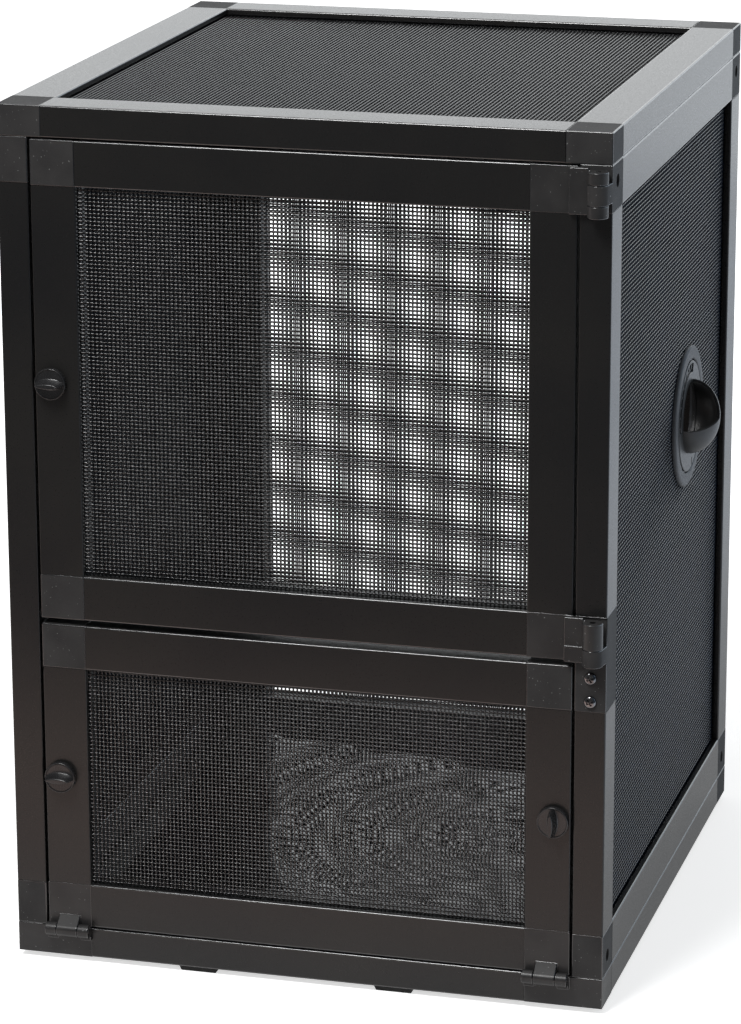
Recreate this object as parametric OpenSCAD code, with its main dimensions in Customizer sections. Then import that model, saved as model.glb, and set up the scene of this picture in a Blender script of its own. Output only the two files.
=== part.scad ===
// Front-opening mesh reptile cage: five fixed panels and two doors, all framed from one hollow
// extrusion with moulded corner blocks, woven mesh held in a groove, and a turning side feed port.
// Cage frame: x to the right, y to the back, z up, from the front left bottom corner of the base.

/* [Cage] */
// Outside width over the side panels
cage_w = 420; // [380:1:520]
// Outside depth from the door faces to the back face
cage_d = 450; // [400:1:560]
// Height of base, side panels and lid together, without the feet
cage_h = 604; // [560:1:760]

/* [Frame extrusion] */
// Face width of every rail, post and stile
rail_w = 31.5; // [30:0.5:36]
// Thickness of every panel frame
rail_t = 21.5; // [20:0.5:25]
// Wall of the hollow extrusion
rail_wall = 1.5; // [1.2:0.1:1.8]
// Depth of the groove that holds the mesh
groove_d = 6; // [5:0.5:7]
// Height of that groove
groove_h = 3.5; // [3:0.1:4]
// Depth of the mesh below the outer face
mesh_recess = 5; // [4:0.5:6]
// Length of a corner block's leg inside its rail
leg_l = 25; // [15:1:35]
// Clearance around a leg
leg_gap = 0.2; // [0.1:0.05:0.4]
// Side of the square peg between stacked corner blocks
peg_w = 8; // [6:0.5:9]
// Height of that peg
peg_h = 8; // [5:0.5:12]
// Clearance around a peg in its socket
peg_gap = 0.2; // [0.1:0.05:0.4]

/* [Mesh and floor] */
// Thickness of the mesh
mesh_t = 1.2; // [0.8:0.1:1.6]
// Distance between strands of the net
net_pitch = 48; // [42:1:70]
// Width of a strand of the net
net_strand = 3; // [2:0.5:5]
// Thickness of the floor sheet, which lies on the base rails between the walls
floor_t = 2; // [1.5:0.1:2.5]
// Clearance between the floor sheet and the walls
floor_gap = 1; // [0.5:0.1:2]
// How far mesh and spline stop short of the groove's bottom
groove_end = 0.5; // [0.2:0.1:1]

/* [Doors] */
// Gap between a door and the post beside it
side_gap = 1.6; // [1.2:0.1:2.5]
// Gap between the two doors
door_gap = 4; // [3:0.1:6]
// Gap between the lower door and the base
base_gap = 1; // [0.8:0.1:1.5]
// Gap between the upper door and the lid
lid_gap = 1.2; // [0.8:0.1:2]
// Height of the lower door
lower_door_h = 221; // [180:1:240]

/* [Upper door hinges] */
// Distance of the hinge axis from the right outer face
hinge_inset = 8; // [7:0.5:9]
// Diameter of the hinge barrel
barrel_d = 13.8; // [11:0.2:14]
// Gap between a barrel or leaf and the face behind it
leaf_gap = 0.6; // [0.4:0.1:1]
// Thickness of the leaf on the door
leaf_t = 3.5; // [3:0.5:5]
// How far the leaf reaches over the door's corner block
leaf_over = 5; // [3:0.5:10]
// Distance of the leaf's ends from the corner block's edges
leaf_end = 0.4; // [0.2:0.1:1]
// Extra thickness of the middle leaf beside the post's knuckle
leaf_pad = 1; // [0.5:0.1:1.5]
// Depth of the seat behind the middle leaf in the hinge block
leaf_seat = 1; // [0.5:0.1:1.4]
// Diameter of the hinge pins
pin_d = 4; // [3:0.2:5]
// Radial clearance of a pin where it is held
pin_held = 0.02; // [0.01:0.01:0.03]
// Radial clearance of a pin where it turns
pin_free = 0.06; // [0.04:0.01:0.09]
// Gap between neighbouring knuckles
knuckle_gap = 0.3; // [0.2:0.05:0.5]
// Distance of the top knuckle below the door's top edge
top_drop = 1.6; // [1:0.2:5]
// Length of the door's knuckle at the top
top_knuckle = 8; // [6:0.5:11]
// Length of the post's knuckle at the top
post_knuckle = 13.5; // [10:0.5:15]
// Length of the door's lower knuckle of the top hinge
end_knuckle = 8; // [6:0.5:10]
// Height of the middle hinge's split above the door's bottom edge
mid_rise = 12; // [10:0.1:13]
// Length of the door's knuckle at the middle hinge
mid_knuckle = 17.8; // [15:0.1:19]
// Length of the post's knuckle at the middle hinge
mid_post_knuckle = 12; // [8:0.5:14]
// Half width of the foot that joins a post knuckle to its block, on the door's side
knuckle_foot = 4; // [3:0.5:5]

/* [Lower door hinges] */
// Diameter of the lower hinge barrels
low_barrel_d = 9.4; // [8:0.2:10]
// Gap between those barrels and the faces behind them
low_gap = 0.7; // [0.5:0.1:1]
// Depth of the lower hinge axis below the base's top face
low_drop = 0.5; // [0.2:0.1:1]
// Length of the door's knuckle between the base's two
low_knuckle = 15; // [10:0.5:18]
// Thickness of the plate that carries a lower knuckle
low_plate_t = 3; // [2:0.5:4]
// Height of that plate
low_plate_h = 8; // [5:0.5:12]

/* [Latches] */
// Diameter of a latch knob's disc
knob_d = 22; // [18:0.5:23]
// Thickness of that disc
knob_t = 4.5; // [3:0.5:6]
// Height of the grip bar on the disc
bar_h = 7.5; // [5:0.5:8]
// Width of the grip bar
bar_w = 6; // [4:0.5:8]
// Gap between the disc and the stile
knob_gap = 0.3; // [0.2:0.05:0.5]
// Distance of a latch from its door's edge
latch_inset = 11.8; // [11.5:0.1:13]
// Diameter of the latch shaft
shaft_d = 8; // [6:0.5:9]
// Radial clearance of the shaft in the stile
shaft_free = 0.06; // [0.04:0.01:0.09]
// Diameter of the riveted shaft end that holds the tongue
rivet_d = 5; // [4:0.5:5.5]
// Height of the rivet's head
rivet_h = 1; // [0.6:0.1:1.5]
// Length of the tongue from the shaft's axis
tongue_l = 20; // [18:0.5:22]
// Width of the tongue
tongue_w = 8; // [6:0.5:10]
// Thickness of the tongue
tongue_t = 2; // [1.5:0.1:2.2]
// Gap between the tongue and the stile
tongue_gap = 0.5; // [0.3:0.1:0.6]
// Clearance of the tongue in the post's slot
slot_gap = 0.6; // [0.4:0.1:0.8]

/* [Side port] */
// Distance of the port's centre from the front
port_y = 289; // [180:1:300]
// Height of the port's centre above the base's underside
port_z = 343.5; // [200:0.5:420]
// Diameter of the bezel
bezel_d = 103; // [98:1:120]
// Width of the bezel's face
bezel_ring = 10; // [8:0.5:12]
// Thickness of the bezel on the mesh
bezel_t = 3; // [2.5:0.1:4]
// How far the bezel laps over the cover's rim
rim_lap = 1.2; // [0.8:0.1:2]
// Wall of the bezel's sleeve through the mesh
sleeve_wall = 1.4; // [1:0.1:2]
// Depth of that sleeve from the mesh's outer face
sleeve_d = 3; // [2.5:0.1:4]
// Clearance around the cover
cover_gap = 0.1; // [0.08:0.01:0.1]
// Wall of the cover and thickness of the clamp ring's lip
cover_wall = 2; // [1.5:0.1:2.2]
// Width of the cover's face ring
face_ring = 4; // [3:0.5:6]
// Radius of the hood at its foot
hood_r = 27; // [26:0.5:32]
// Height of the hood above the bezel's face
hood_h = 21.7; // [18:0.1:25]
// Wall of the hood
hood_wall = 2; // [1.5:0.1:3]
// Angle that the hood is swept through; the rest is its mouth
hood_sweep = 240; // [200:5:270]
// Angle of the mouth's lower lip below the forward direction
hood_turn = 12; // [0:1:90]
// Number of grip teeth on the cover's face beside the mouth
tooth_count = 9; // [4:1:12]
// Width of a tooth
tooth_w = 1.6; // [1:0.1:2]
// Height of a tooth
tooth_h = 1.2; // [0.8:0.1:2]
// Distance of the teeth from the hood and from the cover's edge
tooth_inset = 2; // [1:0.5:3]

/* [Feet] */
// Length of a foot pad
foot_l = 29; // [20:1:36]
// Width of a foot pad
foot_w = 12; // [8:1:16]
// Height of a foot pad
foot_h = 4; // [3:0.5:6]
// Taper at a pad's ends
foot_taper = 2; // [1:0.5:4]
// Distance between the two pads on a side
foot_space = 141; // [100:1:170]
// Sideways shift of the front and back pads
foot_shift = -8; // [-12:1:12]
// Distance of a pad from the base's edge
foot_inset = 3; // [1:0.5:8]

/* [Screws] */
// Diameter of a screw's head
head_d = 8.6; // [7:0.2:9]
// Height of a screw's head
head_h = 2.4; // [2:0.1:3]
// Diameter of a screw's shank
screw_d = 4; // [3:0.2:4.5]
// Length of the shank in a single block
screw_l = 13; // [8:0.5:13]
// Length of the shank through the side corner into the back corner
long_l = 28; // [26:0.5:36]
// Clearance around a screw
screw_gap = 0.1; // [0.05:0.05:0.2]
// Depth of a sunk screw head's top below the face
head_sink = 1.5; // [0.5:0.1:2]
// Height of a corner screw above its block's edge
screw_rise = 12.4; // [10:0.2:16]
// Distance between the hinge block's two screws
block_screws = 16.4; // [14:0.2:18]
// Distance of the lower screw above the hinge block's bottom edge
block_rise = 7.5; // [6:0.1:8]
// Width of the cross slot in a head
cross_w = 1.2; // [0.8:0.1:1.6]
// Depth of the cross slot
cross_d = 1.2; // [0.8:0.1:1.5]

/* [Hidden] */
$fn = 48;
// Overlap of solids that are one piece, and overshoot of cuts
lap = 1;
frame_col = "#202124";
corner_col = "#3b3c3f";
mesh_col = "#2c2f33";
floor_col = "#17181a";
rubber_col = "#101112";
knob_col = "#0d0e0f";
steel_col = "#b9bcc0";

// Inside of the extrusion and place of the groove, from the inner face
hollow_w = rail_w - groove_d - 2*rail_wall;
hollow_t = rail_t - 2*rail_wall;
groove_top = rail_t - mesh_recess;
groove_low = groove_top - groove_h;
sheet_in = groove_d - groove_end;

// Panel sizes, width first
lid_size = [cage_w, cage_d];
side_size = [cage_d, cage_h - 2*rail_t];
back_size = [cage_w - 2*rail_t, cage_h - 2*rail_t];
door_x = rail_t + side_gap;
door_w = cage_w - 2*door_x;
door_right = door_x + door_w;
low_z = rail_t + base_gap;
low_top = low_z + lower_door_h;
up_z = low_top + door_gap;
up_top = cage_h - rail_t - lid_gap;
low_size = [door_w, lower_door_h];
up_size = [door_w, up_top - up_z];

// Upper hinge: axis, and the ends of each knuckle
hinge_x = cage_w - hinge_inset;
hinge_out = barrel_d/2 + leaf_gap;
top_z1 = up_top - top_drop;
top_z0 = top_z1 - top_knuckle;
post_z1 = top_z0 - knuckle_gap;
post_z0 = post_z1 - post_knuckle;
end_z1 = post_z0 - knuckle_gap;
end_z0 = end_z1 - end_knuckle;
mid_z0 = up_z + mid_rise;
mid_z1 = mid_z0 + mid_knuckle;
mid_post_z1 = mid_z0 - knuckle_gap;
mid_post_z0 = mid_post_z1 - mid_post_knuckle;
// Lowest point of the top leaf, and how far a leaf stays off the axis beside a post's knuckle
leaf_z0 = up_top - rail_w + leaf_end;
leaf_back = barrel_d/2 + knuckle_gap;

// Hinge block in the right front post, from the lower door's corner to the upper door's
block_z0 = low_top - rail_w;
block_z1 = up_z + rail_w;
block_screw_x = cage_w - rail_t + hollow_t/2 + rail_wall;

// Lower hinge: axis, and the ends of the door's knuckle on the right side
low_y = -(low_barrel_d/2 + low_gap);
low_axis_z = rail_t - low_drop;
low_x0 = door_right - rail_w;
low_mid_x0 = low_x0 + (rail_w - low_knuckle)/2;
low_mid_x1 = low_mid_x0 + low_knuckle;
// The door's knuckle leans back from its barrel to the top of its plate: where the slope meets the barrel
low_plate_z = low_z + low_plate_h;
low_lean = norm([low_y + low_gap, low_plate_z - low_axis_z]);
low_turn = atan2(low_plate_z - low_axis_z, -low_gap - low_y) + acos(low_barrel_d/2/low_lean);
low_touch = [low_y, low_axis_z] + low_barrel_d/2*[cos(low_turn), sin(low_turn)];
// The base's hinge corner runs along the front as far as the door's corner block
hinge_corner_l = cage_w - low_x0;

// Latches: height of each, tongue and slot
up_latch_z = (up_z + up_top)/2;
low_latch_z = (low_z + low_top)/2;
left_latch_x = door_x + latch_inset;
right_latch_x = door_right - latch_inset;
tongue_y = rail_t + tongue_gap;
post_reach = latch_inset + side_gap;
slot_half = sqrt(pow(tongue_l, 2) + pow(tongue_w/2, 2) - pow(post_reach, 2)) + slot_gap;

// Side port, in the right panel's own frame: radii and depths
bezel_in = bezel_d/2 - bezel_ring;
rim_r = bezel_in + rim_lap;
sleeve_in = rim_r + cover_gap;
sleeve_out = sleeve_in + sleeve_wall;
face_r = bezel_in - cover_gap;
port_w = groove_top;
clamp_w = port_w - sleeve_d - cover_wall;
rim_low = port_w - sleeve_d + cover_gap;
face_w = port_w + bezel_t;
shelf_w = face_w - cover_wall;
hood_in = hood_r - hood_wall;
hole_r = hood_in - hood_wall/4;
mouth_turn = 360 - hood_sweep;
hood_out = face_w + hood_h - rail_t;

// What stands proud of the cage, and the cage's place in the part's frame
knob_out = knob_gap + knob_t + bar_h;
front_out = max(hinge_out + barrel_d/2, knob_out);
cage_at = [-(cage_w + hood_out)/2, -(cage_d - front_out)/2, foot_h];

// Places. A panel lies in its own frame: u to the right, v up, w outward from the inner face.
module in_cage() translate(cage_at) children();
module in_lid() in_cage() translate([0, 0, cage_h - rail_t]) children();
module in_base() in_cage() translate([0, cage_d, rail_t]) rotate([180, 0, 0]) children();
module in_right() in_cage() translate([cage_w - rail_t, 0, rail_t]) rotate([90, 0, 90]) children();
module in_left() in_cage() translate([rail_t, cage_d, rail_t]) rotate([90, 0, -90]) children();
module in_back()
    in_cage() translate([cage_w - rail_t, cage_d - rail_t, rail_t]) rotate([90, 0, 180]) children();
module in_upper_door() in_cage() translate([door_x, rail_t, up_z]) rotate([90, 0, 0]) children();
module in_lower_door() in_cage() translate([door_x, rail_t, low_z]) rotate([90, 0, 0]) children();
module both_sides() {
    children();
    translate([cage_w, 0, 0]) mirror([1, 0, 0]) children();
}

// A panel's side: 0 bottom, 1 right, 2 top, 3 left, each starting at the corner before it
module on_side(size, side)
    translate([[0, 0], [size[0], 0], size, [0, size[1]]][side]) rotate([0, 0, 90*side]) children();
function run(size, side) = size[side % 2] - 2*rail_w;

// The extrusion, lying along +X with its outer edge on the X axis
module outline() polygon([
    [0, 0], [rail_w, 0], [rail_w, groove_low], [rail_w - groove_d, groove_low],
    [rail_w - groove_d, groove_top], [rail_w, groove_top], [rail_w, rail_t], [0, rail_t]
]);
module section() difference() {
    outline();
    translate([rail_wall, rail_wall]) square([hollow_w, hollow_t]);
}
module along(length) rotate([90, 0, 90]) linear_extrude(length) children();
module rail(size, side) on_side(size, side)
    translate([rail_w, 0, 0]) along(run(size, side)) section();

// The leg that plugs into a rail from x0 to x1
module leg(x0, x1) translate([x0, rail_wall + leg_gap, rail_wall + leg_gap])
    cube([x1 - x0, hollow_w - 2*leg_gap, hollow_t - 2*leg_gap]);
module corner(size, side) on_side(size, side) {
    cube([rail_w, rail_w, rail_t]);
    leg(rail_w - lap, rail_w + leg_l);
    mirror([1, -1, 0]) leg(rail_w - lap, rail_w + leg_l);
}

// Sheet that fills a frame: its edges enter the grooves and its corners stop at the blocks
module sheet_outline(size) {
    translate([rail_w - sheet_in, rail_w])
        square([run(size, 0) + 2*sheet_in, run(size, 1)]);
    translate([rail_w, rail_w - sheet_in])
        square([run(size, 0), run(size, 1) + 2*sheet_in]);
}
module net_gaps(size) {
    count = [for (i = [0, 1]) max(1, round(run(size, i)/net_pitch))];
    step = [for (i = [0, 1]) run(size, i)/count[i]];
    for (i = [0 : count[0] - 1], j = [0 : count[1] - 1])
        translate([rail_w + i*step[0] + net_strand/2, rail_w + j*step[1] + net_strand/2])
            square([step[0] - net_strand, step[1] - net_strand]);
}
module net(size) translate([0, 0, groove_top - mesh_t]) linear_extrude(mesh_t) difference() {
    sheet_outline(size);
    net_gaps(size);
}

// Rubber spline that fills the rest of the groove behind a sheet of the given thickness
module spline(size, sheet_t) for (side = [0 : 3]) on_side(size, side)
    translate([rail_w, rail_w - sheet_in, groove_low])
        cube([run(size, side), sheet_in, groove_h - sheet_t]);

// Pegs on the side panels' corner blocks, and their sockets in lid and base
module side_peg(side) {
    u = side == 0 || side == 3 ? rail_w/2 : side_size[0] - rail_w/2;
    v = side < 2 ? 0 : side_size[1];
    translate([u - peg_w/2, v - peg_h, (rail_t - peg_w)/2]) cube([peg_w, 2*peg_h, peg_w]);
}
module socket_cuts() for (u = [rail_t/2, cage_w - rail_t/2], v = [rail_w/2, cage_d - rail_w/2])
    translate([u - peg_w/2 - peg_gap, v - peg_w/2 - peg_gap, -lap])
        cube([peg_w + 2*peg_gap, peg_w + 2*peg_gap, peg_h + peg_gap + lap]);

// A cross-head screw: the head's underside on the XY plane, the shank down
module screw(length) difference() {
    union() {
        cylinder(d = head_d, h = head_h);
        translate([0, 0, -length]) cylinder(d = screw_d, h = length + lap);
    }
    for (a = [0, 90]) rotate([0, 0, a])
        translate([-head_d/4, -cross_w/2, head_h - cross_d]) cube([head_d/2, cross_w, cross_d + lap]);
}
module screw_cut(length, head_room) {
    translate([0, 0, -length - screw_gap]) cylinder(d = screw_d + 2*screw_gap, h = length + lap);
    if (head_room > 0) cylinder(d = head_d + 2*screw_gap, h = head_room + lap);
}
// Seats of the screws in a side panel: the back ones run on into the back panel
seat_w = rail_t - head_sink - head_h;
module side_seat(side, at_back) {
    u = side == 0 || side == 3 ? rail_w/2 : side_size[0] - rail_w/2;
    v = side < 2 ? screw_rise : side_size[1] - screw_rise;
    translate([u, v, seat_w]) children(at_back ? 1 : 0);
}
module side_screw(side, at_back) side_seat(side, at_back) {
    screw(screw_l);
    screw(long_l);
}
module side_screw_cut(side, at_back) side_seat(side, at_back) {
    screw_cut(screw_l, head_sink + head_h);
    screw_cut(long_l, head_sink + head_h);
}
// A corner block of a side panel with its peg and its screw hole
module side_corner(side, at_back) difference() {
    union() {
        corner(side_size, side);
        side_peg(side);
    }
    side_screw_cut(side, at_back);
}

// Base
module base_front_rail() color(frame_col) in_base() on_side(lid_size, 2)
    translate([hinge_corner_l, 0, 0]) along(cage_w - 2*hinge_corner_l) section();
module base_back_rail() color(frame_col) in_base() rail(lid_size, 0);
module base_side_rails() color(frame_col) in_base() for (side = [1, 3]) rail(lid_size, side);
module base_back_corners() color(corner_col) in_base() difference() {
    for (side = [0, 1]) corner(lid_size, side);
    socket_cuts();
}
module base_hinge_corner() difference() {
    union() {
        translate([0, cage_d, rail_t]) rotate([180, 0, 0]) difference() {
            on_side(lid_size, 2) {
                cube([rail_w, rail_w, rail_t]);
                mirror([1, -1, 0]) leg(rail_w - lap, rail_w + leg_l);
                translate([rail_w - lap, 0, 0]) along(hinge_corner_l - rail_w + lap) outline();
                leg(hinge_corner_l - lap, hinge_corner_l + leg_l);
            }
            socket_cuts();
        }
        for (x = [[low_x0, low_mid_x0 - knuckle_gap], [low_mid_x1 + knuckle_gap, door_right]]) {
            translate([x[0], low_y, low_axis_z]) rotate([0, 90, 0])
                cylinder(d = low_barrel_d, h = x[1] - x[0]);
            translate([x[0], low_y, low_axis_z - low_barrel_d/2])
                cube([x[1] - x[0], lap - low_y, low_barrel_d/2]);
            translate([x[0], -low_plate_t, low_axis_z - low_plate_h])
                cube([x[1] - x[0], low_plate_t + lap, low_plate_h]);
        }
    }
    low_bore(pin_held);
}
module low_bore(gap) translate([low_x0 - lap, low_y, low_axis_z]) rotate([0, 90, 0])
    cylinder(d = pin_d + 2*gap, h = rail_w + 2*lap);
module base_hinge_corners() color(corner_col) in_cage() both_sides() base_hinge_corner();
// The floor lies loose on the ledge that the base rails make inside the thinner walls
module floor_sheet() color(floor_col) in_cage() translate([rail_t + floor_gap, rail_t + floor_gap, rail_t])
    cube([cage_w - 2*(rail_t + floor_gap), cage_d - 2*(rail_t + floor_gap), floor_t]);
module foot() rotate([90, 0, 0]) linear_extrude(foot_w) polygon([
    [-foot_l/2, 0], [-foot_l/2 + foot_taper, -foot_h], [foot_l/2 - foot_taper, -foot_h], [foot_l/2, 0]
]);
module feet() color(rubber_col) in_cage() {
    for (x = [-1, 1]*foot_space/2 + [1, 1]*(cage_w/2 + foot_shift),
         y = [foot_inset + foot_w, cage_d - foot_inset]) translate([x, y, 0]) foot();
    for (y = [-1, 1]*foot_space/2 + [1, 1]*cage_d/2,
         x = [foot_inset, cage_w - foot_inset - foot_w]) translate([x, y, 0]) rotate([0, 0, 90]) foot();
}

// Lid
module lid_front_rail() color(frame_col) in_lid() rail(lid_size, 0);
module lid_back_rail() color(frame_col) in_lid() rail(lid_size, 2);
module lid_side_rails() color(frame_col) in_lid() for (side = [1, 3]) rail(lid_size, side);
module lid_corners() color(corner_col) in_lid() difference() {
    for (side = [0 : 3]) corner(lid_size, side);
    socket_cuts();
}
module lid_mesh() color(mesh_col) in_lid() net(lid_size);

// Strike slots for a latch tongue, through the inner walls of both front posts
module slot_cut(z) both_sides()
    translate([rail_t - rail_wall - lap, tongue_y - slot_gap, z - slot_half])
        cube([rail_wall + 2*lap, tongue_t + 2*slot_gap, 2*slot_half]);
// Left panel. Its own left edge is at the back of the cage.
module left_front_post() color(frame_col) difference() {
    in_left() rail(side_size, 1);
    in_cage() for (z = [up_latch_z, low_latch_z]) slot_cut(z);
}
module left_back_post() color(frame_col) in_left() rail(side_size, 3);
module left_rails() color(frame_col) in_left() for (side = [0, 2]) rail(side_size, side);
module left_corners() color(corner_col) in_left()
    for (side = [0 : 3]) side_corner(side, side == 0 || side == 3);
module left_mesh() color(mesh_col) in_left() net(side_size);

// Right panel. Its front post is in two lengths with the hinge block between them.
module front_post(z0, z1) translate([0, z1 - rail_t, 0]) rotate([0, 0, -90]) along(z1 - z0) children();
module right_upper_post() color(frame_col) in_right()
    front_post(block_z1, cage_h - rail_t - rail_w) section();
module right_lower_post() color(frame_col) difference() {
    in_right() front_post(rail_t + rail_w, block_z0) section();
    in_cage() slot_cut(low_latch_z);
}
module right_back_post() color(frame_col) in_right() rail(side_size, 1);
module right_rails() color(frame_col) in_right() for (side = [0, 2]) rail(side_size, side);
module right_corners() color(corner_col) in_right()
    for (side = [0 : 2]) side_corner(side, side > 0);
module post_knuckle_at(z0, z1, depth) {
    translate([hinge_x, -hinge_out, z0]) cylinder(d = barrel_d, h = z1 - z0);
    translate([0, 0, z0]) linear_extrude(z1 - z0) polygon([
        [hinge_x - knuckle_foot, depth], [cage_w, depth], [cage_w, 0], [hinge_x + barrel_d/2, -hinge_out],
        [hinge_x - knuckle_foot, -hinge_out]
    ]);
}
module hinge_bore(z0, z1, gap) translate([hinge_x, -hinge_out, z0 - lap])
    cylinder(d = pin_d + 2*gap, h = z1 - z0 + 2*lap);
module right_hinge_corner() color(corner_col) difference() {
    union() {
        in_right() side_corner(3, false);
        in_cage() post_knuckle_at(post_z0, post_z1, lap);
    }
    in_cage() hinge_bore(post_z0, post_z1, pin_free);
}
module block_screw_seats() for (i = [0, 1])
    translate([block_screw_x, 0, block_z0 + block_rise + i*block_screws]) rotate([90, 0, 0]) children();
module hinge_block() color(corner_col) difference() {
    union() {
        difference() {
            in_right() front_post(block_z0, block_z1) outline();
            in_cage() translate([cage_w - rail_t - lap, -lap, mid_post_z0 - leaf_end])
                cube([rail_t + 2*lap, leaf_seat + lap, block_z1 - leaf_end - mid_post_z0]);
        }
        in_right() translate([0, block_z1 - rail_t, 0]) rotate([0, 0, -90])
            leg(-leg_l, block_z1 - block_z0 + leg_l);
        in_cage() post_knuckle_at(mid_post_z0, mid_post_z1, leaf_seat + lap);
    }
    in_cage() hinge_bore(mid_post_z0, mid_post_z1, pin_free);
    in_cage() block_screw_seats() screw_cut(screw_l, 0);
}
module hinge_block_screws() color(steel_col) in_cage() block_screw_seats() screw(screw_l);
// The mesh is whole round the port, apart from the hole for the bezel's sleeve
module in_port() translate([port_y, port_z - rail_t, 0]) children();
module right_mesh() color(mesh_col) in_right() difference() {
    union() {
        net(side_size);
        in_port() translate([0, 0, groove_top - mesh_t]) cylinder(d = bezel_d, h = mesh_t);
    }
    in_port() translate([0, 0, groove_top - mesh_t - lap])
        cylinder(r = sleeve_out + cover_gap, h = mesh_t + 2*lap);
}

// Back panel, between the side panels
module back_stiles() color(frame_col) in_back() for (side = [1, 3]) rail(back_size, side);
module back_rails() color(frame_col) in_back() for (side = [0, 2]) rail(back_size, side);
module back_corners() color(corner_col) difference() {
    in_back() for (side = [0 : 3]) corner(back_size, side);
    in_right() for (side = [1, 2]) side_screw_cut(side, true);
    in_left() for (side = [0, 3]) side_screw_cut(side, true);
}
module back_mesh() color(mesh_col) in_back() net(back_size);

// Parts that all the fixed panels share
module panel_splines() color(rubber_col) {
    in_lid() spline(lid_size, mesh_t);
    in_left() spline(side_size, mesh_t);
    in_right() spline(side_size, mesh_t);
    in_back() spline(back_size, mesh_t);
}
module frame_screws() color(steel_col) {
    in_right() for (side = [0 : 3]) side_screw(side, side == 1 || side == 2);
    in_left() for (side = [0 : 3]) side_screw(side, side == 0 || side == 3);
}
module lower_hinge_pins() color(steel_col) in_cage() both_sides()
    translate([low_x0, low_y, low_axis_z]) rotate([0, 90, 0]) cylinder(d = pin_d, h = rail_w);

// Side port: bezel outside the mesh, clamp ring inside it, and the cover that turns between them
module port_bezel() color(corner_col) in_right() in_port() rotate_extrude() polygon([
    [bezel_in, port_w], [bezel_in, face_w], [bezel_d/2, face_w], [bezel_d/2, port_w],
    [sleeve_out, port_w], [sleeve_out, port_w - sleeve_d], [sleeve_in, port_w - sleeve_d],
    [sleeve_in, port_w]
]);
module port_clamp_ring() color(corner_col) in_right() in_port() rotate_extrude() polygon([
    [bezel_in - rim_lap, clamp_w], [bezel_d/2, clamp_w], [bezel_d/2, groove_top - mesh_t],
    [sleeve_out + cover_gap, groove_top - mesh_t], [sleeve_out + cover_gap, port_w - sleeve_d],
    [bezel_in - rim_lap, port_w - sleeve_d]
]);
// The cover's ring: a face inside the bezel, a rim that runs under it and a hole through the middle
module port_ring() rotate_extrude() polygon([
    [hole_r, shelf_w], [face_r - face_ring, shelf_w], [face_r - face_ring, rim_low], [rim_r, rim_low],
    [rim_r, port_w - cover_gap], [face_r, port_w - cover_gap], [face_r, face_w], [hole_r, face_w]
]);
// Domed hood over the hole, swept round the port's axis; its mouth is the part left out
function dome(r, h) = [for (i = [0 : 9]) [r*cos(10*i), face_w + h*sin(10*i)]];
function turned(list) = [for (i = [len(list) - 1 : -1 : 0]) list[i]];
module port_hood() rotate_extrude(angle = hood_sweep) polygon(concat(
    [[hood_r, face_w - cover_wall/2]], dome(hood_r, hood_h), turned(dome(hood_in, hood_h - hood_wall)),
    [[hood_in, face_w - cover_wall/2]]
));
module port_teeth() for (i = [0 : tooth_count - 1]) rotate([0, 0, -(i + 0.5)*mouth_turn/tooth_count])
    translate([hood_r + tooth_inset, -tooth_w/2, face_w - cover_wall/2])
        cube([face_r - hood_r - 2*tooth_inset, tooth_w, cover_wall/2 + tooth_h]);
module port_cover() color(knob_col) in_right() in_port() rotate([0, 0, 180 + hood_turn]) {
    port_ring();
    port_hood();
    port_teeth();
}

// A door's rail with the bore for a latch shaft through it
module bored_stile(size, side, u) difference() {
    rail(size, side);
    translate([u, size[1]/2, -lap]) cylinder(d = shaft_d + 2*shaft_free, h = rail_t + 2*lap);
}

// Upper door
module upper_door_latch_stile() color(frame_col) in_upper_door() bored_stile(up_size, 3, latch_inset);
module upper_door_hinge_stile() color(frame_col) in_upper_door() rail(up_size, 1);
module upper_door_top_rail() color(frame_col) in_upper_door() rail(up_size, 2);
module upper_door_bottom_rail() color(frame_col) in_upper_door() rail(up_size, 0);
module upper_door_corners() color(corner_col) in_upper_door() for (side = [0, 3]) corner(up_size, side);
// A leaf stands on the door's corner block and reaches over the post, up to the given distance from the axis
module leaf(z0, z1, back, t) translate([0, 0, z0]) linear_extrude(z1 - z0) polygon([
    [door_right - leaf_over, lap], [door_right - leaf_over, -leaf_gap - t], [hinge_x - back, -leaf_gap - t],
    [hinge_x - back, -leaf_gap], [door_right, -leaf_gap], [door_right, lap]
]);
module barrel(z0, z1) translate([hinge_x, -hinge_out, z0]) cylinder(d = barrel_d, h = z1 - z0);
module top_leaf() {
    leaf(leaf_z0, up_top - leaf_end, leaf_back, leaf_t);
    leaf(top_z0, top_z1, 0, leaf_t);
    leaf(max(end_z0, leaf_z0), end_z1, 0, leaf_t);
    barrel(top_z0, top_z1);
    barrel(end_z0, end_z1);
}
module mid_leaf() {
    leaf(up_z + leaf_end, up_z + rail_w - leaf_end, leaf_back, leaf_t);
    leaf(up_z + leaf_end, mid_post_z1, leaf_back, leaf_t + leaf_pad);
    leaf(mid_z0, mid_z1, 0, leaf_t);
    barrel(mid_z0, mid_z1);
}
module upper_door_hinge_corners() color(corner_col) difference() {
    union() {
        in_upper_door() for (side = [1, 2]) corner(up_size, side);
        in_cage() top_leaf();
        in_cage() mid_leaf();
    }
    in_cage() hinge_bore(end_z0, top_z1, pin_held);
    in_cage() hinge_bore(mid_z0, mid_z1, pin_held);
}
module upper_door_mesh() color(mesh_col) in_upper_door() net(up_size);
module upper_door_spline() color(rubber_col) in_upper_door() spline(up_size, mesh_t);
module upper_hinge_pins() color(steel_col) in_cage() {
    translate([hinge_x, -hinge_out, end_z0]) cylinder(d = pin_d, h = top_z1 - end_z0);
    translate([hinge_x, -hinge_out, mid_post_z0]) cylinder(d = pin_d, h = mid_z1 - mid_post_z0);
}

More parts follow.
